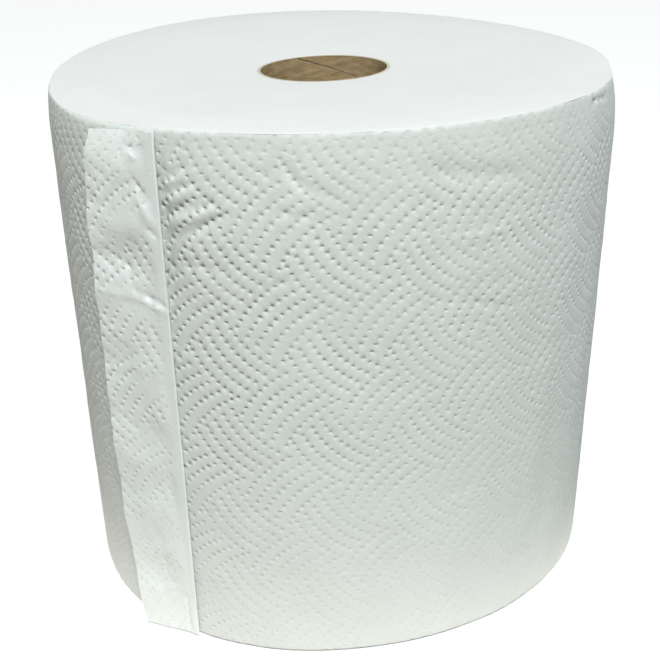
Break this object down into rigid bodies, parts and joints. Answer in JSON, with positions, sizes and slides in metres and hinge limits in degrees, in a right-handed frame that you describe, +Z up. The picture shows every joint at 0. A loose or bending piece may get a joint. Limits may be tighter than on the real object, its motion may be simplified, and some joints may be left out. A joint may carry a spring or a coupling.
{
  "type": "paper towel roll",
  "caption": "Roll of white embossed paper towel wound on a brown board core, standing on end with its loose end folded back.",
  "frame": {"origin": "centre of the core's bore in the base plane that the roll stands on", "axes": "+Z up along the roll's axis; -Y towards the side where the loose end is folded back"},
  "size_m": [0.2018, 0.205, 0.19],
  "materials": {
    "towel_paper": "soft matte two-ply paper with embossed dots",
    "kraft_board": "matte unbleached kraft board, spiral wound"
  },
  "bodies": {
    "root": {"paper_roll": "towel_paper", "core_tube": "kraft_board"}
  },
  "joints": []
}
